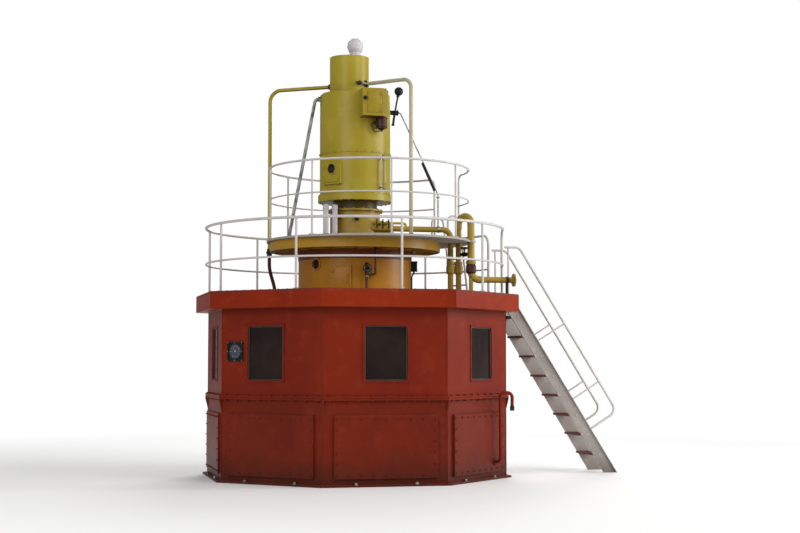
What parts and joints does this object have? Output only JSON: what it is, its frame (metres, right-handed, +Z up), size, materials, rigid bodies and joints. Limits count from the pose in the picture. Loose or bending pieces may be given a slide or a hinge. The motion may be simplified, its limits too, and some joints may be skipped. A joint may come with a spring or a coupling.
{
  "type": "hydroelectric generator",
  "caption": "Vertical shaft hydroelectric generator: octagonal red housing with railed roof, bearing housing, round platform, yellow oil head column, pipes and a stair.",
  "frame": {"origin": "on the floor, on the shaft axis, which is the middle of the anchor bolt circle", "axes": "+Z up the shaft; the front with the wide window faces -Y; the stair leaves the roof towards +X"},
  "size_m": [7.0474, 5.08, 7.37],
  "materials": {
    "housing_red": "semi-gloss oxide red enamel",
    "roof_red": "semi-gloss brick red enamel",
    "rail_grey": "light grey enamel, worn at the joints",
    "tread_steel": "matt grey grating, worn bright on the edges",
    "dark_glass": "dark, seen from a lit hall",
    "instrument_frame": "satin dark grey frame round a glazed dial",
    "amber_paint": "semi-gloss ochre enamel",
    "yellow_paint": "semi-gloss dull yellow enamel",
    "dark_paint": "satin black enamel",
    "bare_steel": "dull ribbed steel",
    "white_paint": "white enamel"
  },
  "bodies": {
    "root": {"base_flange": "housing_red", "lower_housing": "housing_red", "belt_flange": "housing_red", "wall_front": "housing_red", "wall_front_right": "housing_red", "wall_right": "housing_red", "wall_back_right": "housing_red", "wall_back": "housing_red", "wall_back_left": "housing_red", "wall_left": "housing_red", "wall_front_left": "housing_red", "window_panes": "dark_glass", "instrument_window": "instrument_frame", "roof_fascia": "roof_red", "roof_deck": "roof_red", "roof_rail_near": "rail_grey", "roof_rail_left": "rail_grey", "roof_rail_far": "rail_grey", "bearing_housing": "amber_paint", "bearing_ring": "roof_red", "bearing_port_glass": "dark_glass", "bearing_hatch": "amber_paint", "bearing_drain_valve": "dark_paint", "bearing_terminal_box": "dark_paint", "platform_disc": "yellow_paint", "platform_walkway": "tread_steel", "platform_rail_near": "rail_grey", "platform_rail_left": "rail_grey", "platform_rail_far": "rail_grey", "platform_ladder": "rail_grey", "oil_head_neck": "yellow_paint", "oil_head_ring": "yellow_paint", "column_lower": "yellow_paint", "column_upper": "yellow_paint", "column_access_plate": "yellow_paint", "level_gauge": "yellow_paint", "column_cap": "yellow_paint", "signal_lamp": "white_paint", "control_box": "yellow_paint", "actuator": "dark_paint", "hand_lever": "dark_paint", "arch_pipe_left": "yellow_paint", "arch_pipe_right": "yellow_paint", "conduit": "bare_steel", "control_line": "bare_steel", "supply_pipes": "yellow_paint", "drain_pipe": "yellow_paint", "crossover_valve": "dark_paint", "vent_gooseneck": "housing_red", "sensor_posts": "white_paint", "stair_stringers": "rail_grey", "stair_treads": "tread_steel", "stair_handrail_near": "rail_grey", "stair_handrail_far": "rail_grey"}
  },
  "joints": []
}
